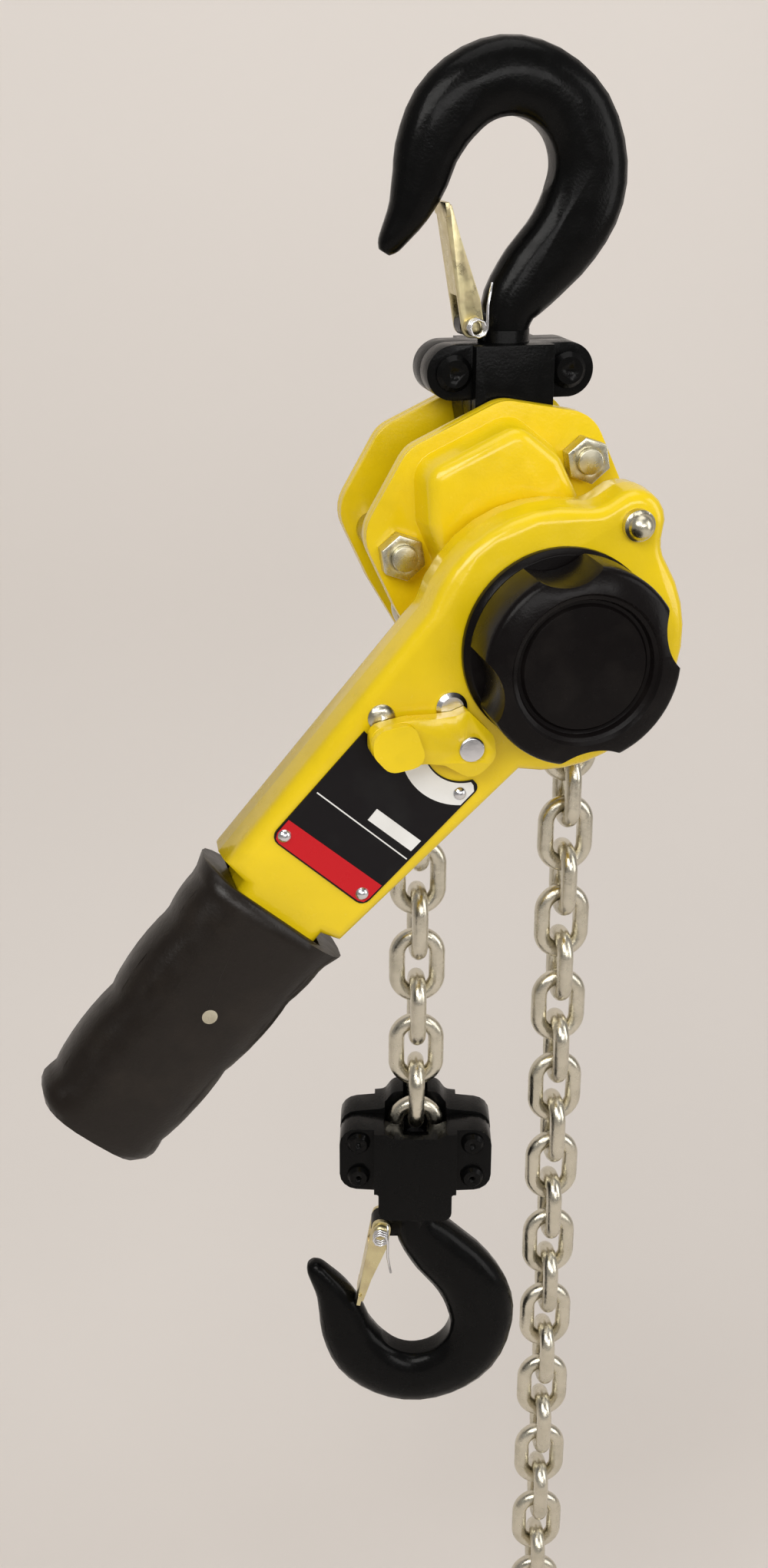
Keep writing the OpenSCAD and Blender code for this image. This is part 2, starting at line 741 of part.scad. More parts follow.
module drive_shaft() {
    color(steel) in_frame() {
        slab(fast_y, fast_y + fast_w) rotate(gear_line + 180 / drive_teeth)
            polygon(gear_outline(drive_teeth, fast_module));
        turned([[0, -shaft_end], [bush_r, -shaft_end], [bush_r, -fast_y - fast_w], [shaft_r - 0.5, -fast_y - fast_w],
            [shaft_r - 0.5, -fast_y], [shaft_r, -fast_y], [shaft_r, plate_out + 1], [thread_r, plate_out + 1],
            [thread_r, shaft_front], [0, shaft_front]]);
    }
}

bush_r = 4.5;

module shaft_bush() {
    color("peru") at_sheave() slab(shaft_end - 3.7, plate_out + gear_cover_d - cover_wall) difference() {
        circle(r = bush_r + 3, $fn = 40);
        circle(r = bush_r + fit, $fn = 40);
    }
}

// ---- Load brake ----

brake_y = plate_out + 1;
disc_t = 2.5;
ratchet_t = 4;
hub_flange_t = 3;
friction_in = 15;
hub_sleeve_r = 14;

// The hub is screwed to the shaft: a flange behind the discs and a sleeve through them
module brake_hub() {
    y0 = brake_y;
    y1 = y0 + hub_flange_t;
    y2 = y1 + 2 * disc_t + ratchet_t + 3 * 0.1;
    color(steel) at_sheave() turned([[thread_r, y0], [28, y0], [28, y1], [hub_sleeve_r, y1], [hub_sleeve_r, y2], [thread_r, y2]]);
}

module friction_discs() {
    color("sienna") at_sheave() for (k = [0, 1]) {
        y = brake_y + hub_flange_t + 0.1 + k * (disc_t + ratchet_t + 0.1);
        slab(-y - disc_t, -y) difference() {
            circle(r = 27, $fn = 64);
            circle(r = friction_in, $fn = 48);
        }
    }
}

ratchet_y = brake_y + hub_flange_t + disc_t + 0.15;

// Saw teeth; the steep face of each tooth is square to the line from it to its pawl's pivot
function saw(z, root, tip) = [for (k = [0:z - 1]) each [polar(root, 360 * (k - 1) / z + 2),
    polar(tip, 360 * k / z - 7), polar(tip, 360 * k / z - 3.6), polar(root, 360 * k / z)]];

module ratchet_disc() {
    color(steel) in_frame() slab(-ratchet_y - ratchet_t + 0.1, -ratchet_y) difference() {
        rotate(pawl_angles[0] - nose_back) polygon(saw(ratchet_teeth, ratchet_r - 4.5, ratchet_r));
        circle(r = hub_sleeve_r + fit, $fn = 64);
    }
}

pawl_pin_r = 3.5;
pawl_pivot_r = ratchet_r + 16;
pawl_eye_r = 6;
pawl_angles = [105, 60];
// Angle from a pawl's pivot back to its nose
nose_back = 30.5;
pawl_pivots = [for (a = pawl_angles) polar(pawl_pivot_r, a)];

module pawl_pins() {
    color(steel) in_frame() for (p = pawl_pivots)
        rod(pawl_pin_r, -ratchet_y - ratchet_t - 2, -plate_in, p);
}

// A pawl whose nose lies in the tooth space just past the steep face
module pawl(a) {
    nose = a - nose_back;
    in_frame() slab(-ratchet_y - ratchet_t + 0.1, -ratchet_y) difference() {
        union() {
            translate(polar(pawl_pivot_r, a)) circle(r = pawl_eye_r, $fn = 40);
            polygon([polar(pawl_pivot_r + 5, a), polar(pawl_pivot_r - 5, a + 3), polar(ratchet_r + 1.5, nose + 12),
                polar(ratchet_r + 0.8, nose + 6.5), polar(ratchet_r - 3.4, nose + 2), polar(ratchet_r - 3.4, nose + 0.2),
                polar(ratchet_r + 1, nose - 3), polar(ratchet_r + 3.5, nose + 3)]);
        }
        translate(polar(pawl_pivot_r, a)) circle(r = pawl_pin_r + fit, $fn = 32);
    }
}

module upper_pawl() {
    color(steel) pawl(pawl_angles[0]);
}

module side_pawl() {
    color(steel) pawl(pawl_angles[1]);
}

// ---- Covers ----

// Outline of the brake cover's raised boss, about the plates' centre line
boss_r = ratchet_r + 4.7;
neck_left = pawl_pivots[0].x - pawl_eye_r - 10.7;
neck_right = pawl_pivots[1].x + pawl_eye_r + 0.4;
boss_left = -boss_r - 7.6;
boss_right = boss_r - 5.5;
boss_low = -boss_r - 0.9;
boss_corners = [
    [-21, 75, 11], [neck_left, 54, 10], [neck_left - 0.5, ratchet_r + 1, 12], [boss_left - 0.3, 10, 22],
    [boss_left, boss_low, boss_r], [boss_right, boss_low, boss_r - 0.2], [boss_right, 6, 16],
    [neck_right + 0.2, ratchet_r, 10], [neck_right, 54, 10], [21, 75, 11]
];
boss_outline = [for (p = rounded(boss_corners, 4)) [p.x + plate_shift, p.y]];

module brake_cover() {
    face = plate_out + brake_cover_d;
    color(yellow) in_frame() difference() {
        union() {
            slab(-plate_out - cover_wall, -plate_out) polygon(plate_outline);
            skin(pressed(boss_outline, -plate_out - 0.5, -face, 2, 5, 3));
        }
        skin(pressed(inset(boss_outline, cover_wall), -plate_out + 1, -face + cover_wall, 2, 3, 2));
        for (p = stays) rod(stay_r, -face, -plate_out + 1, p);
        rod(cover_bore, -face - 1, -plate_out, [0, 0]);
    }
}

cover_bore = 24;

// Outline of the gear cover's raised body, about the plates' centre line
gear_body_corners = [
    [-16, 73, 14], [-31.5, 60, 10], [-31.5, 32, 6], [-46.5, 26, 10], [-40.5, -54.5, 14], [0, -66.5, 16],
    [38, -24, 22], [46.5, 26, 10], [31.5, 32, 6], [31.5, 60, 10], [16, 73, 14]
];
gear_body = [for (p = rounded(gear_body_corners, 4)) [p.x + plate_shift, p.y]];

module gear_cover() {
    face = plate_out + gear_cover_d;
    color(yellow) in_frame() difference() {
        union() {
            slab(plate_out, plate_out + cover_wall) difference() {
                polygon(plate_outline);
                polygon(inset(gear_body, cover_wall));
            }
            fanned_skin(flip(cup(pressed(gear_body, plate_out + 0.5, face, 2, 7, 3),
                pressed(inset(gear_body, cover_wall), plate_out + 0.5, face - cover_wall, 2, 5, 2))),
                [plate_shift, face - cover_wall, 3], [plate_shift, face, 3]);
            for (p = cover_screws) rod(screw_post_r, plate_out, face - 1, p);
        }
        for (i = [0, 1]) rod(stay_r, plate_out - 1, face + 1, stays[i]);
        for (p = cover_screws) rod(screw_r, plate_out - 1, face + 1, p);
    }
}

screw_post_r = 4;
screw_r = 2.5;
cover_screws = [[26, 57], [-28.4, 4], [36, 2]];

module gear_cover_screws() {
    face = plate_out + gear_cover_d;
    color(zinc) in_frame() for (p = cover_screws)
        turned([[0, -plate_out - 4.2], [screw_r, -plate_out - 4.2], [screw_r, -face], [4.6, -face],
            [4.2, -face - 1.6], [2.6, -face - 2.6], [0, -face - 2.6]], p);
}

// ---- Lever ----

shell_back = plate_out + brake_cover_d + 2;
shell_face = shell_back + lever_d;
shell_mid = shell_back + lever_d / 2;
lobe_angle = 187.3;
lobe_r = 13;
lobe_fillet = 14;
arm_top = head_r - 4.5;
arm_low = [23, 11.5];
// Tang of the lever inside the grip
tang_half = 20;
grip_mid = -16.5;

// Fillet between the round head and its lobe
lobe_spread = acos((pow(head_r + lobe_fillet, 2) + pow(lobe_bolt, 2) - pow(lobe_r + lobe_fillet, 2))
    / (2 * (head_r + lobe_fillet) * lobe_bolt));
function fillet_centre(s) = polar(head_r + lobe_fillet, lobe_angle + s * lobe_spread);
function heading(v) = atan2(v.y, v.x);
lobe_centre = polar(lobe_bolt, lobe_angle);
// Direction from a fillet's centre to the lobe's, for the lower side
fillet_turn = heading(lobe_centre - fillet_centre(-1));
head_turn = lobe_angle - lobe_spread + 180;
bend = head_turn - (head_turn - fillet_turn) % 360;

// Outline of the lever: round head with a lobe, and the arm towards +X
function lever_outline(end) =
    let (low = asin(arm_low[0] / head_r), high = asin(arm_top / head_r),
         side = arc(fillet_centre(-1), lobe_fillet, head_turn, bend, 4),
         lobe = arc(lobe_centre, lobe_r, bend - 180, 2 * lobe_angle - bend + 180, 8))
    concat(
        [[end, grip_mid + tang_half], [grip_start - 3, grip_mid + tang_half], [grip_start - 5, arm_low[1]]],
        arc([0, 0], head_r, low, lobe_angle - lobe_spread, 14),
        [for (i = [1:3]) side[i]],
        lobe,
        [for (i = [3:-1:1]) mirror_lobe(side[i])],
        arc([0, 0], head_r, lobe_angle + lobe_spread, 360 - high, 8),
        [[grip_start - 5, -arm_top], [grip_start - 3, grip_mid - tang_half], [end, grip_mid - tang_half]]);
function mirror_lobe(p) = polar(norm(p), 2 * lobe_angle - heading(p));

lever_end = grip_start + 20;
shell_wall = 2.5;
shell_round = 5;
// Where the faces' triangles meet, inside the bore
fan_z = -6;
lever_pts = lever_outline(lever_end);

// One shell, from the seam at y = 0 to its closed face; side is -1 for the front one
module shell(side) {
    depth = lever_d / 2;
    difference() {
        fanned_skin(flip(cup(pressed(lever_pts, 0, depth, 0.6, shell_round, 4),
            pressed(inset(lever_pts, shell_wall), 0, depth - shell_wall, 0.6, 2, 2))),
            [0, depth - shell_wall, fan_z], [0, depth, fan_z]);
        rod(gear_bore, -1, depth + 1);
        for (p = lever_bolt_places) rod(lever_bolt_r, -1, depth + 1, p);
        rod(selector_r + fit, -1, depth + 1, selector_at);
        if (side < 0) rod(plunger_r, -1, depth + 1, plunger_at);
    }
}

gear_bore = 24.5;
lever_bolt_r = 3;
lever_bolt_places = [lobe_centre, [62, 11 - arm_top]];
selector_at = [50, -4];
selector_r = 5;
plunger_at = [43, -17.5];
plunger_r = 4;

module lever_shell_front() {
    color(yellow) in_lever() translate([0, -shell_mid, 0]) mirror([0, 1, 0]) shell(-1);
}

module lever_shell_rear() {
    color(yellow) in_lever() translate([0, -shell_mid, 0]) shell(1);
}

// Bolts through both shells; the lobe's bolt carries an acorn nut
module lever_bolts() {
    y0 = shell_back;
    y1 = shell_face;
    acorn = concat([[6, y1], [6, y1 + 3.2]], arc([0, y1 + 3.2], 5, 10, 90, 5));
    dome = [[5.2, y1], [5.2, y1 + 0.6], [4.4, y1 + 1.5], [2.6, y1 + 2], [0, y1 + 2.1]];
    color(gold_zinc) in_lever() {
        for (i = [0:1])
            turned(concat([[0, y0 - 1.5], [5.5, y0 - 1.5], [5.5, y0], [lever_bolt_r, y0], [lever_bolt_r, y1]],
                i == 0 ? acorn : dome), lever_bolt_places[i]);
    }
}

module selector_lever() {
    y0 = shell_face + selector_lift;
    y1 = y0 + selector_t;
    color(yellow) in_lever() difference() {
        union() {
            rod(8, -y0 - 1, -shell_face - gap, selector_at);
            slab(-y1, -y0) translate(selector_at) polygon(rounded([
                [-10.5, -11, 1.2], [-9, 4, 6], [-3, 10.5, 6], [9, 9.5, 7], [11, -4, 4], [15, -10.5, 4],
                [25.5, -20.5, 5], [24, -30, 5], [17, -36, 5], [6, -27, 4], [-1, -18.5, 4], [-6, -13.5, 3]], 4));
            slab(-y1 - knob_t, -y0 - 1) translate(selector_at) polygon(rounded([
                [14, -10.8, 5], [25.5, -20.5, 6], [24, -30, 6], [17, -36, 6], [5, -26, 5]], 4));
        }
        rod(selector_r, -y1 - 1, -shell_face + 1, selector_at);
    }
}

selector_lift = 2.6;
selector_t = 6;
knob_t = 4;

module selector_shaft() {
    y1 = shell_face + selector_lift + selector_t;
    color(zinc) in_lever() turned([[0, shell_back - 1.5], [selector_r, shell_back - 1.5], [selector_r, y1 + 1], [selector_r - 0.6, y1 + 1.6], [0, y1 + 1.6]], selector_at);
}

// Two-horned pawl inside the shells; either horn drops between the gear's teeth
horn_reach = 30.8;
horn_angle = 25;

module selector_pawl() {
    to_gear = heading(-selector_at);
    y0 = -shell_mid - pawl_half;
    y1 = -shell_mid + pawl_half;
    color(steel) in_lever() difference() {
        union() {
            rod(9, y0, y1, selector_at);
            for (s = [-1, 1]) slab(y0, y1) translate(selector_at) polygon([
                polar(horn_reach, to_gear + s * (horn_angle - 1.8)), polar(horn_reach, to_gear + s * (horn_angle + 1.8)),
                polar(17, to_gear + s * (horn_angle + 16)), polar(8, to_gear + s * 80), polar(7, to_gear + s * 8),
                polar(17, to_gear + s * (horn_angle - 8))]);
        }
        rod(selector_r, y0 - 1, y1 + 1, selector_at);
    }
}

pawl_half = 6;

module detent_plunger() {
    color(zinc) in_lever() turned([[0, shell_face - shell_wall - 1], [plunger_r, shell_face - shell_wall - 1], [plunger_r, shell_face],
        [6, shell_face], [6, shell_face + 1.2], [4.4, shell_face + 2.2], [0, shell_face + 2.2]], plunger_at);
}

// Gear that the selector's pawl drives; its sleeve presses the friction discs together
gear_tip = 22;
gear_root = 17.5;
gear_teeth = 12;

function square_teeth(z, root, tip, share) = [for (k = [0:z - 1]) let (a = 360 * k / z, h = 180 * share / z)
    each [polar(root, a - h * 1.25), polar(tip, a - h), polar(tip, a + h), polar(root, a + h * 1.25)]];

module changeover_gear() {
    press_face = brake_y + hub_flange_t + 2 * disc_t + ratchet_t + 0.4;
    front = ring_face - 1;
    color(steel) at_sheave() difference() {
        union() {
            slab(-shell_mid - pawl_half - 1, -shell_mid + pawl_half + 1)
                rotate(lever_angle + heading(selector_at)) polygon(square_teeth(gear_teeth, gear_root, gear_tip, 0.5));
            turned([[0, press_face], [21, press_face], [21, press_face + 3], [gear_root, press_face + 6],
                [gear_root, front], [0, front]]);
        }
        rod(thread_r, -front - 1, -press_face + 1);
    }
}

// ---- Ring and hand wheel ----

ring_t = 6;
ring_face = shell_face + ring_t;
wheel_back = ring_face + 1.5;
wheel_face = wheel_back + wheel_t;
shaft_front = wheel_back + 9;

module ring_cover() {
    color(black) at_sheave() turned([[gear_bore - 2, shell_face], [ring_r - 1, shell_face], [ring_r, shell_face + 1],
        [ring_r, ring_face - 2], [ring_r - 2, ring_face], [gear_bore - 2, ring_face]]);
}

notch_r = 20;
notch_depth = 6;
notch_angles = [100, 14, -84, -169];

module hand_wheel() {
    y0 = wheel_back;
    y1 = wheel_face;
    recess = 26;
    color(black) at_sheave() difference() {
        turned(concat(
            [[thread_r + 6, y0], [wheel_r - 4, y0]],
            arc([wheel_r - 3, y0 + 3], 3, -60, 0, 3),
            arc([wheel_r - 3.5, y1 - 5.5], 3.5, 0, 75, 4),
            [[recess + 2.5, y1]],
            [[recess + 1.5, y1 - 1.5], [recess, y1 - 2], [recess - 0.8, y1 - 4.2], [recess - 2, y1 - 4.4], [recess - 3, y1 - 3],
             [0, y1 - 2.2], [0, y1 - 7], [thread_r + 6, y1 - 7]]));
        for (a = notch_angles) translate(turned_to(polar(wheel_r + notch_r - notch_depth, a)))
            rotate([90, 0, 0]) cylinder(r = notch_r, h = 3 * wheel_face, center = true, $fn = 64);
    }
}

function turned_to(p) = [p.x, 0, p.y];

module shaft_nut() {
    y = ring_face - 1 + 0.2;
    color(zinc) at_sheave() {
        slab(-y - 6, -y) difference() {
            hexagon(17);
            circle(r = thread_r, $fn = 40);
        }
    }
}

// Spring that pushes the hand wheel home
coil_turns = 3;
coil_r = 9;
coil_wire = 1.4;
coil_y0 = ring_face + 7.2;
coil_y1 = wheel_face - 8.8;
coil_path = [for (i = [0:8 * coil_turns])
    [coil_r * cos(45 * i), -mix(coil_y0, coil_y1, i / (8 * coil_turns)), coil_r * sin(45 * i)]];
echo(str("hand wheel spring, least gap to itself in mm: ", least_gap(coil_path, coil_wire, 6)));

module hand_wheel_spring() {
    color(steel) at_sheave() wire(coil_path, coil_wire / 2);
}

// ---- Grip ----

grip_front = 21;
// Ribs between the grip's notches: height, first notch from the mouth, and pitch
grip_wave = 2.2;
notch_first = 27;
notch_pitch = 37.5;
grip_steps = 36;
grip_sides = 24;

// Half width of the grip along its length, with a flared collar and finger waves
function grip_width(t) =
    let (taper = mix(31, grip_half, smooth(t)), collar = t < 0.07 ? 3.2 * (1 - t / 0.07) : 0,
         end = t > 0.94 ? 5 * pow((t - 0.94) / 0.06, 2) : 0)
    taper + collar - end;
function grip_ring(t, shrink) =
    let (rib = pow(abs(sin(180 * (grip_l * t - notch_first) / notch_pitch)), 0.6) - 0.5,
         wave = grip_wave * rib * smooth(min(1, t * 6)),
         w = grip_width(t) + wave - shrink, h = mix(grip_front, grip_front - 2, t) * (0.62 + 0.38 * grip_width(t) / 34) - shrink)
    [for (k = [0:grip_sides - 1])
        let (a = 360 * k / grip_sides, c = cos(a), q = sin(a))
        [grip_start + grip_l * t, -shell_mid + h * sign(q) * pow(abs(q), 0.7),
         grip_mid + w * sign(c) * pow(abs(c), 0.7)]];

module lever_grip() {
    color(black) in_lever() difference() {
        skin(flip([for (i = [0:grip_steps]) grip_ring(i / grip_steps, 0)]));
        // The lever's tang fits this slot
        translate([grip_start - 1, -shell_face, grip_mid - tang_half - 1])
            cube([lever_end - grip_start + 1, lever_d, 2 * tang_half + 2]);
        rod(grip_pin_r, -shell_mid - 40, -shell_mid + 40, grip_pin_at);
    }
}

grip_pin_r = 3;
grip_pin_at = [193, grip_mid + 2];

module grip_pin() {
    reach = 17.5;
    color(zinc) in_lever() turned([[0, shell_mid - reach], [grip_pin_r, shell_mid - reach], [grip_pin_r, shell_mid + reach + 1.6],
        [0, shell_mid + reach + 1.6]], grip_pin_at);
}

// ---- Nameplate ----

plate_name = [[58, 9.5 - arm_top, 3], [60, 13, 3], [124.5, 7.5, 4], [123.5, 7 - arm_top, 4]];

module nameplate() {
    color("#101010") in_lever() slab(-shell_face - 0.8, -shell_face) difference() {
        polygon(rounded([for (i = [0:3]) plate_name[i]], 4));
        for (p = plate_rivets) translate(p) circle(r = 1.5, $fn = 20);
        translate(selector_at) circle(r = name_notch_r, $fn = 64);
        translate(lever_bolt_places[1]) circle(r = 8, $fn = 48);
    }
}

name_notch_r = 16;
plate_rivets = [[119.5, 11 - arm_top], [120.5, 3.5], [67, 8]];

module nameplate_rivets() {
    y = shell_face + 0.8;
    color(zinc) in_lever() for (p = plate_rivets)
        turned(concat([[0, shell_face], [1.5, shell_face], [1.5, y]], arc([0, y - 1.2], 3, 24, 90, 4)), p);
}

// ---- Load block and hook ----

block_pin_r = 4.5;
block_pin_z = left_z(load_links - 1) - wire_half + chain_wire / 2 + block_pin_r + 0.15;
block_top = block_pin_z + 15;
block_low = block_top - block_h;
sleeve_low = block_pin_z - 30.5;
sleeve_half = 16.5;
block_half = block_d / 2;
// The load hook's head sits lower than the top hook's, clear of the last link
load_drop = shank_drop - 4;
head_hang = 12.5;
load_bowl = block_pin_z - head_hang - load_drop;
load_head_z = load_bowl + load_drop - shank_head_h;
screw_x = 25.5;
screw_z = 8.6;

// The load block's own axes: the chain's line, turned with the block
module at_block() {
    at_sheave() translate([left_x, 0, 0]) rotate([0, 0, load_turn]) children();
}

// Outline of a half of the block; its top rises, or dips, by `rise` at the middle
module block_outline(rise) {
    polygon(rounded([
        [-block_w / 2, block_low, 8], [-sleeve_half, block_low - 1, 1], [-sleeve_half, sleeve_low, 4],
        [sleeve_half, sleeve_low, 4], [sleeve_half, block_low - 1, 1], [block_w / 2, block_low, 8],
        [block_w / 2, block_top, 8], [14, block_top + rise / 4, 4], [10, block_top + rise, 5],
        [-10, block_top + rise, 5], [-14, block_top + rise / 4, 4], [-block_w / 2, block_top, 8]], 4));
}

module block_body(s) {
    at_block() difference() {
        slab(s < 0 ? -block_half : split, s < 0 ? -split : block_half) difference() {
            block_outline(s < 0 ? -3 : 8);
            for (x = [-1, 1]) for (z = [-1, 1])
                translate([x * screw_x, (block_top + block_low) / 2 + z * screw_z]) circle(r = 3, $fn = 24);
        }
        // Mouth for the last link, and its pin
        translate([-link_w / 2 - 1.5, -chain_wire / 2 - 1.5, block_pin_z - chain_wire - block_pin_r - 0.8])
            cube([link_w + 3, chain_wire + 3, 60]);
        translate([-chain_wire / 2 - 2, -link_w / 2 - 1.5, left_z(load_links - 2) - wire_half - chain_wire / 2 - 1])
            cube([chain_wire + 4, link_w + 3, 60]);
        rod(block_pin_r, -block_half - 1 + 6, block_half + 1 - 6, [0, block_pin_z]);
        translate([0, 0, load_head_z - gap]) cylinder(r = shank_head_r + fit, h = shank_head_h + 2 * gap, $fn = 64);
        translate([0, 0, sleeve_low - 1]) cylinder(r = shank_r + fit, h = load_head_z - sleeve_low + 2, $fn = 64);
        // The wings are thinner than the middle
        for (e = [-1, 1]) translate([e > 0 ? sleeve_half + 2 : -sleeve_half - 2 - block_w, s < 0 ? -block_half - 1 : wing_half, block_low - 20])
            cube([block_w, block_half + 1 - wing_half, 2 * block_h]);
    }
}

wing_half = 14;

module load_block_front() {
    color(black) block_body(-1);
}

module load_block_rear() {
    color(black) block_body(1);
}

module block_screws() {
    color(black) at_block() for (x = [-1, 1]) for (z = [-1, 1])
        dimpled_bolt(3, 5, wing_half, [x * screw_x, (block_top + block_low) / 2 + z * screw_z]);
}

module chain_pin() {
    color(steel) at_block() rod(block_pin_r, -block_half + 5.5, block_half - 5.5, [0, block_pin_z]);
}

// The load hook is the top hook's shape, turned upside down
module at_load_bowl() {
    at_block() translate([0, 0, load_bowl]) mirror([0, 0, 1]) children();
}

module load_hook() {
    color(black) at_load_bowl() hook(load_lug, load_drop);
}

module load_latch() {
    color(gold_zinc) at_load_bowl() latch(load_lug);
}

module load_latch_pin() {
    color(gold_zinc) at_load_bowl() latch_pin(load_lug);
}

module load_latch_spring() {
    color(steel) at_load_bowl() latch_spring(load_lug);
}

top_hook();
top_latch();
top_latch_pin();
top_latch_spring();
yoke_front();
yoke_rear();
yoke_bolts();
suspension_pin();
front_side_plate();
rear_side_plate();
stay_bolts();
stay_nuts();
sheave_bearings();
chain_stripper();
chain_on_sheave();
load_sheave();
load_gear();
upper_disc_gear();
lower_disc_gear();
drive_shaft();
brake_hub();
friction_discs();
changeover_gear();
ratchet_disc();
upper_pawl();
side_pawl();
pawl_pins();
brake_cover();
gear_cover();
gear_cover_screws();
shaft_bush();
lever_shell_front();
lever_shell_rear();
lever_bolts();
selector_lever();
selector_shaft();
selector_pawl();
detent_plunger();
ring_cover();
hand_wheel();
shaft_nut();
hand_wheel_spring();
lever_grip();
grip_pin();
nameplate();
nameplate_rivets();
load_chain_upper();
load_chain_lower();
load_block_front();
load_block_rear();
block_screws();
chain_pin();
load_hook();
load_latch();
load_latch_pin();
load_latch_spring();
slack_chain_upper();
slack_chain_middle();
slack_chain_lower();
chain_end_ring();
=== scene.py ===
"""Studio scene of a lever chain hoist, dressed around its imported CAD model."""

import logging
import math
from dataclasses import dataclass
from enum import Enum

import bmesh
import bpy
from mathutils import Matrix, Vector


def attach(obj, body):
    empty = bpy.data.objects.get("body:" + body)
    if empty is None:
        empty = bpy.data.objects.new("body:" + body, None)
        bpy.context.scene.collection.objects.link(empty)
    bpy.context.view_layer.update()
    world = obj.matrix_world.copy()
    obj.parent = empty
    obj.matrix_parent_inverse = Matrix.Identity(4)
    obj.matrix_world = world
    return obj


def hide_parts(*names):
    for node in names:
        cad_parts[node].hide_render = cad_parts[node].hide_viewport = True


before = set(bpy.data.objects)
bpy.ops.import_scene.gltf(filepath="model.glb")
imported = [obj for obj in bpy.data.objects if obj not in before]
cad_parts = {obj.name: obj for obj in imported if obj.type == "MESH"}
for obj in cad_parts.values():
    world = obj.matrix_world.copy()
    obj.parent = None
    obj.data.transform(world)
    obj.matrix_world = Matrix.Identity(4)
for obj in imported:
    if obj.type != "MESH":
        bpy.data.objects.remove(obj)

logging.basicConfig(level=logging.INFO, format="%(message)s")
LOG = logging.getLogger("hoist")

Colour = tuple[float, float, float]
Place = tuple[float, float, float]
Point = tuple[float, float]
Socket = bpy.types.NodeSocket

MM = 0.001
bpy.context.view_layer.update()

# The lever's own axes start at the sheave's axis, turned by its angle. LEVER_FACE is the depth of its
# front face, in millimetres.
SHEAVE_AXIS = Vector((2.0, 0.0, -167.0)) * MM
LEVER_ANGLE = math.radians(229.5)
LEVER_FACE = -72.0

# How a CAD mesh is cleaned before its corners are rounded.
WELD_DISTANCE = 0.004 * MM
FLAT_ANGLE = math.radians(3.0)
CORNER_ANGLE = math.radians(32.0)
EDGE_SEGMENTS = 3


class Edge(Enum):
    """The radius of a piece's corners, in millimetres."""

    CRISP = 0.0
    PRESSED = 0.35
    MOULDED = 0.7
    FORGED = 1.4


class Shading(Enum):
    """The largest angle, in degrees, that is shaded as one surface."""

    MACHINED = 34.0
    PRESSED = 40.0
    RUBBER = 50.0
    ROUND = 60.0
    WIRE = 80.0


# ---------------------------------------------------------------- node graphs


@dataclass(frozen=True)
class Mottle:
    """Noise over a surface, with so many cells to a metre and octaves of detail.

    It is spread over values: noise of start gives low, and noise of end gives high.
    """

    cells: float
    detail: float
    low: float = 0.0
    high: float = 1.0
    start: float = 0.3
    end: float = 0.7


@dataclass(frozen=True)
class Relief:
    """Small bumps on a surface, with so many cells to a metre and octaves of detail.

    Their height is a multiple of the depth that the finish gives them.
    """

    cells: float
    detail: float
    height: float = 1.0


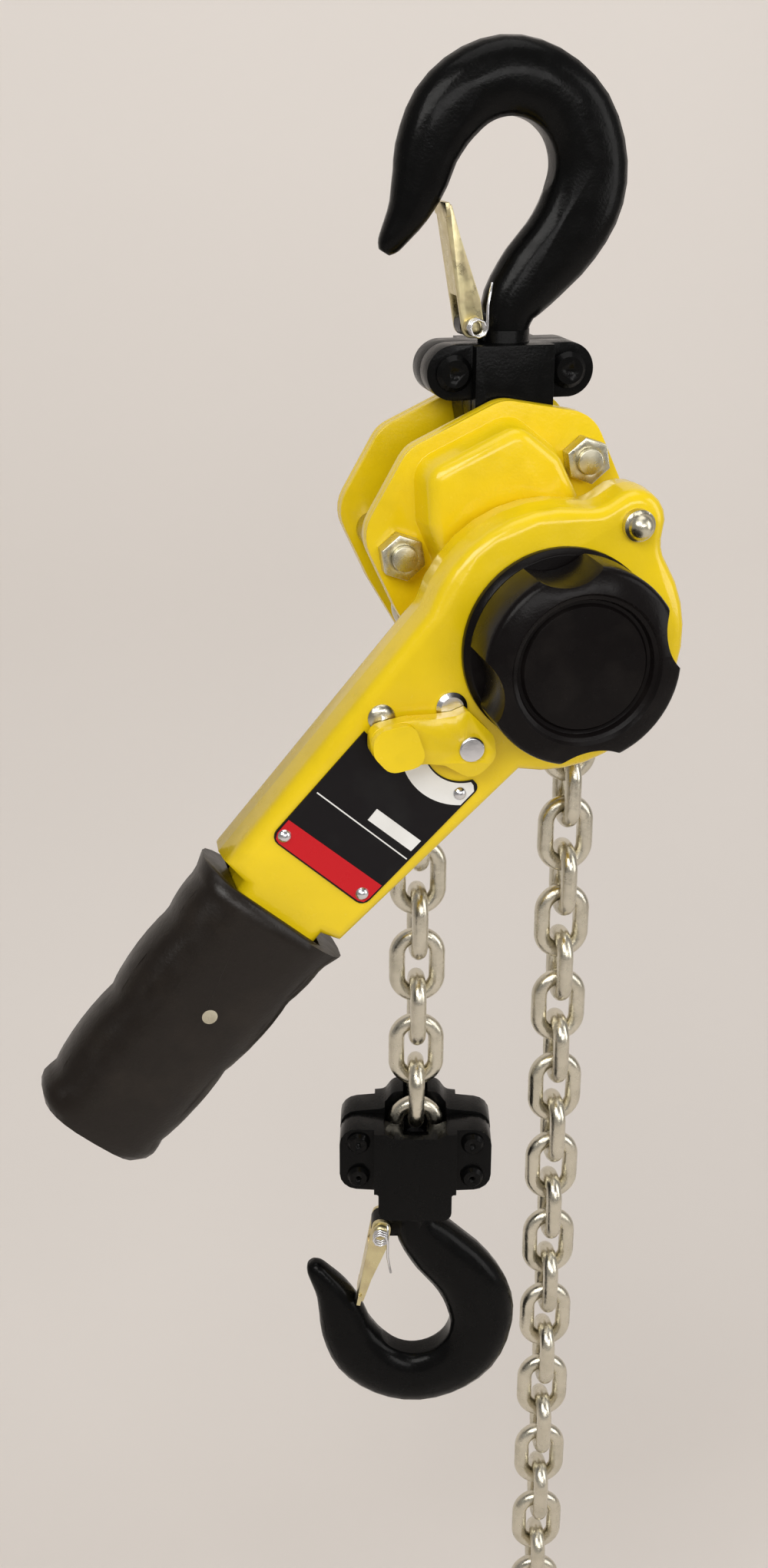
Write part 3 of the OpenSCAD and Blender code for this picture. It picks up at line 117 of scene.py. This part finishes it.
class Graph:
    """A material's node tree, with short methods for the nodes that the finishes share."""

    # The colour sockets' places on a mix node: its two inputs and its output.
    COLOUR_A, COLOUR_B, MIXED_COLOUR = 6, 7, 2

    def __init__(self, name: str) -> None:
        """Start an empty material.

        Args:
            name: the material's name.
        """
        self.material = bpy.data.materials.new(name)
        self.material.use_nodes = True
        self.tree = self.material.node_tree
        self.shader = self.tree.nodes["Principled BSDF"]
        self.coords = self.add("ShaderNodeTexCoord").outputs["Object"]

    def add(self, kind: str, **values: object) -> bpy.types.Node:
        """Add a node.

        Args:
            kind: the node's type.
            values: its properties.

        Returns:
            The new node.
        """
        node = self.tree.nodes.new(kind)
        for key, value in values.items():
            setattr(node, key, value)
        return node

    def link(self, source: Socket, target: Socket) -> None:
        """Join two sockets."""
        self.tree.links.new(source, target)

    def noise(self, cells: float, detail: float) -> Socket:
        """Noise in the object's own metres.

        Args:
            cells: how many cells there are to a metre.
            detail: octaves.

        Returns:
            The noise's factor.
        """
        node = self.add("ShaderNodeTexNoise")
        node.inputs["Scale"].default_value = cells
        node.inputs["Detail"].default_value = detail
        self.link(self.coords, node.inputs["Vector"])
        return node.outputs["Fac"]

    def mottle(self, pattern: Mottle, scale: float = 1.0) -> Socket:
        """Spread noise over a pattern's values.

        Args:
            pattern: the noise and its values.
            scale: what the values are multiplied by.

        Returns:
            The mapped noise.
        """
        noise = self.noise(pattern.cells, pattern.detail)
        node = self.add("ShaderNodeMapRange")
        limits = (pattern.start, pattern.end, scale * pattern.low, scale * pattern.high)
        for name, value in zip(("From Min", "From Max", "To Min", "To Max"), limits):
            node.inputs[name].default_value = value
        self.link(noise, node.inputs["Value"])
        return node.outputs["Result"]

    def mix(self, factor: Socket, a: Colour | Socket, b: Colour | Socket) -> Socket:
        """Mix two colours by a factor.

        Args:
            factor: 0 gives a, 1 gives b.
            a: colour or socket.
            b: colour or socket.

        Returns:
            The mixed colour.
        """
        node = self.add("ShaderNodeMix", data_type="RGBA")
        self.link(factor, node.inputs["Factor"])
        for socket, value in ((node.inputs[self.COLOUR_A], a), (node.inputs[self.COLOUR_B], b)):
            if isinstance(value, Socket):
                self.link(value, socket)
            else:
                socket.default_value = (*value, 1.0)
        return node.outputs[self.MIXED_COLOUR]

    def bump(self, relief: Relief, depth: float, below: Socket | None = None) -> Socket:
        """Bump a surface.

        Args:
            relief: the bumps.
            depth: the finish's depth, in metres.
            below: bumps to add to.

        Returns:
            The bumped normal.
        """
        noise = self.noise(relief.cells, relief.detail)
        node = self.add("ShaderNodeBump")
        node.inputs["Distance"].default_value = depth * relief.height
        self.link(noise, node.inputs["Height"])
        if below is not None:
            self.link(below, node.inputs["Normal"])
        return node.outputs["Normal"]

    def set(self, **values: float | Socket) -> None:
        """Set shader sockets by name.

        Args:
            values: what each socket is set or joined to, by its name with underscores for spaces.
        """
        for key, value in values.items():
            socket = self.shader.inputs[key.replace("_", " ").title().replace("Ior", "IOR")]
            if isinstance(value, Socket):
                self.link(value, socket)
            else:
                socket.default_value = value


# -------------------------------------------------------------------- finishes


@dataclass(frozen=True)
class Finish:
    """A surface finish, built once as a material."""

    name: str
    colour: Colour
    rough: float

    def build(self) -> bpy.types.Material:
        """Return the finish's material, building it the first time."""
        known = bpy.data.materials.get(self.name)
        return known or self.make()

    def make(self) -> bpy.types.Material:
        """Build the material; each kind of finish has its own recipe."""
        raise NotImplementedError


def shade(colour: Colour, factor: float) -> Colour:
    """Darken a colour by a factor."""
    return tuple(channel * factor for channel in colour)


@dataclass(frozen=True)
class Paint(Finish):
    """Glossy paint over metal, with faint orange peel and dust."""

    coat: float
    specular: float
    peel: float = 0.00006
    coat_rough: float = 0.1
    cloud_shade: float = 0.9
    dust_shade: float = 0.55
    clouds: Mottle = Mottle(38.0, 4.0)
    dust: Mottle = Mottle(90.0, 6.0, high=0.12, start=0.56, end=0.72)
    sheen: Mottle = Mottle(160.0, 4.0, low=0.75, high=1.35)
    fine: Relief = Relief(900.0, 2.0)
    waves: Relief = Relief(70.0, 2.0, height=4.0)

    def make(self) -> bpy.types.Material:
        """Build the paint.

        Returns:
            The material.
        """
        graph = Graph(self.name)
        tone = graph.mix(graph.mottle(self.clouds), shade(self.colour, self.cloud_shade), self.colour)
        tone = graph.mix(graph.mottle(self.dust), tone, shade(self.colour, self.dust_shade))
        rough = graph.mottle(self.sheen, self.rough)
        normal = graph.bump(self.waves, self.peel, graph.bump(self.fine, self.peel))
        graph.set(base_color=tone, roughness=rough, normal=normal, coat_weight=self.coat,
                  coat_roughness=self.coat_rough, specular_ior_level=self.specular)
        return graph.material


@dataclass(frozen=True)
class Metal(Finish):
    """Bare or plated metal with fine grain, smudges and small scratches."""

    tint: Colour
    grain: float = 0.00003
    blotch: float = 0.3
    smudges: Mottle = Mottle(110.0, 5.0, start=0.45)
    sheen: Mottle = Mottle(240.0, 4.0, low=0.7, high=1.5)
    fine: Relief = Relief(2600.0, 2.0)
    scratches: Relief = Relief(320.0, 4.0, height=3.0)

    def make(self) -> bpy.types.Material:
        """Build the metal.

        Returns:
            The material.
        """
        graph = Graph(self.name)
        tone = graph.mix(graph.mottle(self.smudges, self.blotch), self.colour, self.tint)
        rough = graph.mottle(self.sheen, self.rough)
        normal = graph.bump(self.scratches, self.grain, graph.bump(self.fine, self.grain))
        graph.set(base_color=tone, metallic=1.0, roughness=rough, normal=normal)
        return graph.material


@dataclass(frozen=True)
class Moulded(Finish):
    """Moulded plastic or rubber with a fine eroded skin and rubbed patches spread by noise."""

    rubbed: Colour
    skin: float = 0.00008
    cells: float = 1400.0
    specular: float = 0.18
    dust: Mottle = Mottle(60.0, 6.0, high=0.6, start=0.5, end=0.75)
    sheen: Mottle = Mottle(130.0, 5.0, low=0.85, high=1.2)
    waves: Relief = Relief(200.0, 3.0, height=1.6)
    skin_detail: float = 3.0

    def make(self) -> bpy.types.Material:
        """Build the moulding.

        Returns:
            The material.
        """
        graph = Graph(self.name)
        tone = graph.mix(graph.mottle(self.dust), self.colour, self.rubbed)
        rough = graph.mottle(self.sheen, self.rough)
        fine = Relief(self.cells, self.skin_detail)
        normal = graph.bump(self.waves, self.skin, graph.bump(fine, self.skin))
        graph.set(base_color=tone, roughness=rough, normal=normal, specular_ior_level=self.specular)
        return graph.material


YELLOW = Paint("yellow_gloss", (0.86, 0.62, 0.006), 0.22, coat=0.25, specular=0.35)
BLACK = Paint("gloss_black", (0.003, 0.003, 0.003), 0.24, coat=0.05, specular=0.08, peel=0.00008)
CHAIN = Metal("chain_plating", (0.68, 0.64, 0.53), 0.22, tint=(0.32, 0.30, 0.22), grain=0.00006)
GOLD = Metal("gold_plating", (0.70, 0.62, 0.36), 0.30, tint=(0.52, 0.42, 0.26), blotch=0.7)
NUTS = Metal("nut_plating", (0.66, 0.63, 0.50), 0.26, tint=(0.42, 0.38, 0.28), blotch=0.6)
STEEL = Metal("turned_steel", (0.52, 0.52, 0.53), 0.34, tint=(0.30, 0.30, 0.31))
BRIGHT = Metal("bright_pins", (0.78, 0.78, 0.80), 0.18, tint=(0.5, 0.5, 0.52))
BRONZE = Metal("bronze_look", (0.66, 0.44, 0.24), 0.38, tint=(0.4, 0.25, 0.14))
LINING = Moulded("lining_look", (0.16, 0.09, 0.06), 0.8, rubbed=(0.25, 0.17, 0.12))
PLASTIC = Moulded("wheel_plastic", (0.005, 0.004, 0.004), 0.24, rubbed=(0.013, 0.011, 0.010),
                  skin=0.00004, specular=0.1)
RUBBER = Moulded("soft_grip", (0.009, 0.006, 0.004), 0.34, rubbed=(0.018, 0.013, 0.009),
                 cells=900.0, specular=0.3)
PLATE = Moulded("print_black", (0.006, 0.005, 0.006), 0.36, rubbed=(0.013, 0.013, 0.013), skin=0.00001)
PLATE_RED = Moulded("print_red", (0.55, 0.012, 0.018), 0.3, rubbed=(0.48, 0.016, 0.019), skin=0.00001)
PLATE_WHITE = Moulded("print_white", (0.80, 0.80, 0.78), 0.35, rubbed=(0.70, 0.69, 0.66), skin=0.00001)


# ------------------------------------------------------------------ mesh tools


def new_object(name: str, data: bpy.types.ID) -> bpy.types.Object:
    """Link a mesh, a camera or a lamp to the scene as an object.

    Args:
        name: the object's name.
        data: what it shows.

    Returns:
        The new object.
    """
    piece = bpy.data.objects.new(name, data)
    bpy.context.scene.collection.objects.link(piece)
    return piece


def smooth(mesh: bpy.types.Mesh, shading: Shading) -> None:
    """Shade a mesh smooth up to an angle."""
    mesh.polygons.foreach_set("use_smooth", [True] * len(mesh.polygons))
    mesh.set_sharp_from_angle(angle=math.radians(shading.value))


def round_corners(piece: bpy.types.Object, edge: Edge) -> None:
    """Round a piece's corners in its mesh.

    Args:
        piece: the piece.
        edge: how its corners are finished.
    """
    bevel = piece.modifiers.new("edge", "BEVEL")
    bevel.width = edge.value * MM
    bevel.segments = EDGE_SEGMENTS
    bevel.limit_method = "ANGLE"
    bevel.angle_limit = CORNER_ANGLE
    bpy.context.view_layer.update()
    graph = bpy.context.evaluated_depsgraph_get()
    mesh = bpy.data.meshes.new_from_object(piece.evaluated_get(graph))
    piece.modifiers.clear()
    piece.data = mesh


def refined(node: str, edge: Edge, shading: Shading) -> bpy.types.Object:
    """A copy of a CAD node with joined faces, rounded corners and smooth shading.

    Args:
        node: the node's name.
        edge: how its corners are finished.
        shading: how it is shaded.

    Returns:
        The new piece.
    """
    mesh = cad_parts[node].data.copy()
    mesh.materials.clear()
    shape = bmesh.new()
    shape.from_mesh(mesh)
    bmesh.ops.remove_doubles(shape, verts=shape.verts, dist=WELD_DISTANCE)
    bmesh.ops.dissolve_limit(shape, angle_limit=FLAT_ANGLE, verts=shape.verts, edges=shape.edges)
    shape.to_mesh(mesh)
    shape.free()
    mesh.name = node + "_look"
    piece = new_object(node + "_look", mesh)
    if edge is not Edge.CRISP:
        round_corners(piece, edge)
    smooth(piece.data, shading)
    return piece


def dress(node: str, body: str, finish: Finish, edge: Edge = Edge.CRISP,
          shading: Shading = Shading.MACHINED) -> None:
    """Show a node as a refined copy in its finish, riding on its body.

    Args:
        node: the node's name.
        body: the body that it rides on.
        finish: its finish.
        edge: how its corners are finished.
        shading: how it is shaded.
    """
    piece = refined(node, edge, shading)
    piece.data.materials.append(finish.build())
    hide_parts(node)
    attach(piece, body)
    LOG.info("%s dressed in %s, riding on %s", node, finish.name, body)


# -------------------------------------------------------------- sub-assemblies


@dataclass
class Hooks:
    """Both forged hooks with their latches, and the top yoke."""

    hooks: tuple[str, ...] = ("top_hook", "load_hook")
    yoke_halves: tuple[str, ...] = ("yoke_front", "yoke_rear")

    def build(self) -> None:
        """Dress both hooks and the yoke."""
        for hook in self.hooks:
            self.dress_hook(hook)
        for node in self.yoke_halves:
            dress(node, "yoke", BLACK, Edge.FORGED)
        dress("yoke_bolts", "yoke", BLACK)

    def dress_hook(self, hook: str) -> None:
        """Dress a hook, its latch, and the latch's pin and spring.

        Args:
            hook: the hook's node, which its body is named after.
        """
        latch = hook.replace("hook", "latch")
        dress(hook, hook, BLACK, shading=Shading.ROUND)
        dress(latch, latch, GOLD, Edge.PRESSED)
        dress(latch + "_pin", hook, GOLD)
        dress(latch + "_spring", hook, BRIGHT, shading=Shading.WIRE)


@dataclass
class Housing:
    """Side plates, stays, covers and what runs between the plates."""

    painted: tuple[str, ...] = ("front_side_plate", "rear_side_plate", "brake_cover", "gear_cover")
    plated: tuple[str, ...] = ("stay_bolts", "stay_nuts")
    fixed: tuple[str, ...] = ("suspension_pin", "sheave_bearings", "chain_stripper", "ratchet_disc",
                              "pawl_pins", "gear_cover_screws")
    # Each of these rides on a body of its own name.
    turning: tuple[str, ...] = ("upper_disc_gear", "lower_disc_gear", "upper_pawl", "side_pawl")
    on_sheave: tuple[str, ...] = ("load_sheave", "load_gear")
    on_shaft: tuple[str, ...] = ("drive_shaft", "brake_hub", "changeover_gear", "shaft_nut",
                                 "hand_wheel_spring")

    def build(self) -> None:
        """Dress the plates and covers, then the gear train and the load brake."""
        for node in self.painted:
            dress(node, "hoist", YELLOW, Edge.PRESSED, Shading.PRESSED)
        for node in self.plated:
            dress(node, "hoist", NUTS, Edge.PRESSED)
        for node in self.fixed:
            dress(node, "hoist", STEEL)
        dress("shaft_bush", "hoist", BRONZE)
        for node in self.on_sheave:
            dress(node, "sheave", STEEL)
        for node in self.turning:
            dress(node, node, STEEL)
        for node in self.on_shaft:
            dress(node, "drive", STEEL)
        dress("friction_discs", "drive", LINING)


@dataclass
class Nameplate:
    """Plain coloured fields on the lever's nameplate, in millimetres along and across the lever."""

    face: float = LEVER_FACE - 0.8
    sunk: float = 0.02
    thick: float = 0.12
    selector: Point = (50.0, -4.0)
    crescent_outer: float = 25.5
    crescent_inner: float = 16.6
    crescent_start: float = -38.0
    outer_end: float = 37.0
    inner_end: float = 49.0
    arc_steps: int = 16
    crescent_tip: tuple[Point, ...] = ((63.0, 12.0), (61.3, 10.2))
    box: tuple[Point, ...] = ((90.5, -14.5), (90.5, 8.3), (96.0, 7.8), (96.0, -14.5))
    line: tuple[Point, ...] = ((98.6, -37.6), (99.2, 8.6), (99.7, 8.6), (99.1, -37.6))
    band: tuple[Point, ...] = ((113.5, -39.4), (113.5, 7.7), (120.5, 7.1), (122.8, 6.3),
                               (123.7, 4.0), (123.0, -36.5), (122.3, -38.5), (120.0, -39.6))

    def build(self) -> None:
        """Lay the fields on the nameplate."""
        fields = (
            ("plate_crescent", PLATE_WHITE, self.crescent()),
            ("plate_box", PLATE_WHITE, self.box),
            ("plate_line", PLATE_WHITE, self.line),
            ("plate_band", PLATE_RED, self.band),
        )
        for name, finish, outline in fields:
            piece = self.raised(name, outline)
            piece.data.materials.append(finish.build())
            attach(piece, "lever")
            LOG.info("%s laid on the nameplate", name)

    def crescent(self) -> tuple[Point, ...]:
        """Outline of the field that bends around the selector.

        Returns:
            Its corners.
        """
        outer = self.arc(self.crescent_outer, self.crescent_start, self.outer_end)
        inner = self.arc(self.crescent_inner, self.inner_end, self.crescent_start)
        return (*outer, *self.crescent_tip, *inner)

    def arc(self, radius: float, start: float, end: float) -> list[Point]:
        """Points of an arc about the selector's axis.

        Args:
            radius: the arc's radius.
            start: its first angle, in degrees.
            end: its last angle.

        Returns:
            The points.
        """
        x, z = self.selector
        steps = range(self.arc_steps + 1)
        turns = [math.radians(start + (end - start) * i / self.arc_steps) for i in steps]
        return [(x + radius * math.cos(turn), z + radius * math.sin(turn)) for turn in turns]

    def on_lever(self, along: float, across: float) -> Vector:
        """A point just under the nameplate's face, in metres in the hoist's frame.

        Args:
            along: its distance along the lever.
            across: its distance across the lever.

        Returns:
            The point.
        """
        c, s = math.cos(LEVER_ANGLE), math.sin(LEVER_ANGLE)
        depth = self.face - self.sunk
        return SHEAVE_AXIS + Vector((along * c - across * s, depth, along * s + across * c)) * MM

    def raised(self, name: str, outline: tuple[Point, ...]) -> bpy.types.Object:
        """A thin field that stands on the nameplate.

        Args:
            name: the piece's name.
            outline: its corners.

        Returns:
            The field.
        """
        shape = bmesh.new()
        face = shape.faces.new([shape.verts.new(self.on_lever(*corner)) for corner in outline])
        raised = bmesh.ops.extrude_face_region(shape, geom=[face])
        moved = [item for item in raised["geom"] if isinstance(item, bmesh.types.BMVert)]
        bmesh.ops.translate(shape, verts=moved, vec=Vector((0.0, -self.thick * MM, 0.0)))
        bmesh.ops.recalc_face_normals(shape, faces=shape.faces)
        mesh = bpy.data.meshes.new(name)
        shape.to_mesh(mesh)
        shape.free()
        return new_object(name, mesh)


@dataclass
class Lever:
    """The lever's shells, grip, nameplate, selector and hand wheel."""

    shells: tuple[str, ...] = ("lever_shell_front", "lever_shell_rear")
    small_parts: tuple[tuple[str, Finish], ...] = (
        ("lever_bolts", NUTS), ("detent_plunger", BRIGHT), ("grip_pin", NUTS), ("nameplate", PLATE),
        ("nameplate_rivets", BRIGHT))

    def build(self) -> None:
        """Dress the lever and what it carries."""
        for node in self.shells:
            dress(node, "lever", YELLOW, shading=Shading.PRESSED)
        for node, finish in self.small_parts:
            dress(node, "lever", finish)
        dress("ring_cover", "lever", PLASTIC, Edge.PRESSED)
        dress("lever_grip", "lever", RUBBER, shading=Shading.RUBBER)
        self.dress_selector()
        dress("hand_wheel", "hand_wheel", PLASTIC, Edge.MOULDED)
        Nameplate().build()

    def dress_selector(self) -> None:
        """Dress the selector's lever, shaft and pawl."""
        dress("selector_lever", "selector", YELLOW, Edge.MOULDED)
        dress("selector_shaft", "selector", BRIGHT, Edge.PRESSED)
        dress("selector_pawl", "selector", STEEL)


@dataclass
class Chains:
    """Every length of chain, and the load block."""

    lengths: tuple[tuple[str, str], ...] = (
        ("chain_on_sheave", "hoist"),
        ("load_chain_upper", "load_chain_upper"),
        ("load_chain_lower", "load_chain_lower"),
        ("slack_chain_upper", "slack_chain_upper"),
        ("slack_chain_middle", "slack_chain_middle"),
        ("slack_chain_lower", "slack_chain_lower"),
        ("chain_end_ring", "slack_chain_lower"))
    block_halves: tuple[str, ...] = ("load_block_front", "load_block_rear")

    def build(self) -> None:
        """Dress the chain, then the load block on its end."""
        for node, body in self.lengths:
            dress(node, body, CHAIN, shading=Shading.ROUND)
        for node in self.block_halves:
            dress(node, "load_block", BLACK, Edge.FORGED)
        dress("block_screws", "load_block", BLACK)
        dress("chain_pin", "load_block", STEEL)


# ---------------------------------------------------------------------- studio


@dataclass(frozen=True)
class SoftBox:
    """A soft rectangular lamp that is turned to the hoist."""

    name: str
    place: Place
    size: tuple[float, float]
    power: float
    colour: Colour
    target: Place = (0.0, 0.0, -0.2)

    def build(self) -> None:
        """Hang the lamp and turn it."""
        data = bpy.data.lights.new(self.name, "AREA")
        data.shape = "RECTANGLE"
        data.size, data.size_y = self.size
        data.energy = self.power
        data.color = self.colour
        aim = Vector(self.target) - Vector(self.place)
        turn = aim.to_track_quat("-Z", "Y").to_matrix().to_4x4()
        new_object(self.name, data).matrix_world = Matrix.Translation(self.place) @ turn


@dataclass
class Camera:
    """The camera at its fitted view."""

    focal_px: float = 2400.0
    frame_px: tuple[int, int] = (1000, 2041)
    azimuth: float = math.radians(-13.8)
    elevation: float = math.radians(21.2)
    roll: float = math.radians(0.2)
    distance: float = 0.7725
    target: Place = (-0.0472, 0.0, -0.2457)
    sensor: float = 36.0
    clip_start: float = 0.01

    def build(self) -> None:
        """Place the camera and make it the scene's own."""
        az, el = self.azimuth, self.elevation
        back = Vector((math.sin(az) * math.cos(el), -math.cos(az) * math.cos(el), math.sin(el)))
        level = Vector((math.cos(az), math.sin(az), 0.0))
        up = back.cross(level)
        right = math.cos(self.roll) * level + math.sin(self.roll) * up
        top = -math.sin(self.roll) * level + math.cos(self.roll) * up
        data = bpy.data.cameras.new("camera")
        data.sensor_width = self.sensor
        data.lens = self.focal_px / max(self.frame_px) * self.sensor
        data.clip_start = self.clip_start
        camera = new_object("camera", data)
        place = Vector(self.target) + back * self.distance
        turn = Matrix((right, top, back)).transposed().to_4x4()
        camera.matrix_world = Matrix.Translation(place) @ turn
        bpy.context.scene.camera = camera


@dataclass
class Studio:
    """Camera, soft lights, and a floor that curves up into a wall. Sizes are in metres."""

    floor_z: float = -0.86
    wall_y: float = 0.75
    wall_top: float = 2.6
    reach: float = 3.0
    bend_radius: float = 0.5
    bend_steps: int = 16
    paper: Colour = (0.74, 0.70, 0.665)
    paper_rough: float = 0.9
    paper_shade: float = 0.97
    paper_clouds: Mottle = Mottle(1.6, 2.0)
    room_colour: Colour = (0.80, 0.78, 0.76)
    room_strength: float = 0.34
    lamps: tuple[SoftBox, ...] = (
        SoftBox("key", (-0.9, -1.3, 0.9), (1.1, 0.8), 18.0, (1.0, 0.98, 0.95)),
        SoftBox("top", (0.1, -0.2, 1.5), (1.4, 1.0), 7.5, (1.0, 0.98, 0.96)),
        SoftBox("right", (1.4, -0.8, 0.2), (0.7, 1.4), 8.5, (1.0, 0.98, 0.96)),
        SoftBox("front", (0.3, -2.4, 0.5), (1.8, 0.5), 15.0, (1.0, 0.98, 0.97)))

    def build(self) -> None:
        """Set up the whole studio."""
        Camera().build()
        self.place_backdrop()
        for lamp in self.lamps:
            lamp.build()
        self.light_room()
        bpy.context.scene.view_settings.view_transform = "Standard"

    def profile(self) -> list[Point]:
        """The backdrop's section, from the floor's front to the wall's top.

        Returns:
            Its points, as y and z.
        """
        radius = self.bend_radius
        bend_y = self.wall_y - radius
        points = [(-self.reach, self.floor_z), (bend_y, self.floor_z)]
        for i in range(1, self.bend_steps + 1):
            turn = math.radians(90.0 * i / self.bend_steps)
            points.append((bend_y + radius * math.sin(turn), self.floor_z + radius * (1 - math.cos(turn))))
        return [*points, (self.wall_y, self.wall_top)]

    def paper_look(self) -> bpy.types.Material:
        """A matt material for the backdrop.

        Returns:
            The material.
        """
        graph = Graph("backdrop_paper")
        tone = graph.mix(graph.mottle(self.paper_clouds), shade(self.paper, self.paper_shade), self.paper)
        graph.set(base_color=tone, roughness=self.paper_rough)
        return graph.material

    def place_backdrop(self) -> None:
        """Lay the floor and bend it up into a wall behind the hoist."""
        profile = self.profile()
        verts = [(x, y, z) for y, z in profile for x in (-self.reach, self.reach)]
        faces = [(2 * i, 2 * i + 1, 2 * i + 3, 2 * i + 2) for i in range(len(profile) - 1)]
        mesh = bpy.data.meshes.new("backdrop")
        mesh.from_pydata(verts, [], faces)
        mesh.polygons.foreach_set("use_smooth", [True] * len(faces))
        wall = new_object("backdrop", mesh)
        wall.data.materials.append(self.paper_look())

    def light_room(self) -> None:
        """Light the room evenly from all sides."""
        world = bpy.data.worlds.new("room")
        world.use_nodes = True
        background = world.node_tree.nodes["Background"]
        background.inputs["Color"].default_value = (*self.room_colour, 1.0)
        background.inputs["Strength"].default_value = self.room_strength
        bpy.context.scene.world = world


def main() -> None:
    """Build the studio and every sub-assembly in order."""
    for part in (Studio(), Hooks(), Housing(), Lever(), Chains()):
        part.build()
        LOG.info("%s ready", type(part).__name__.lower())


if __name__ == "__main__":
    main()
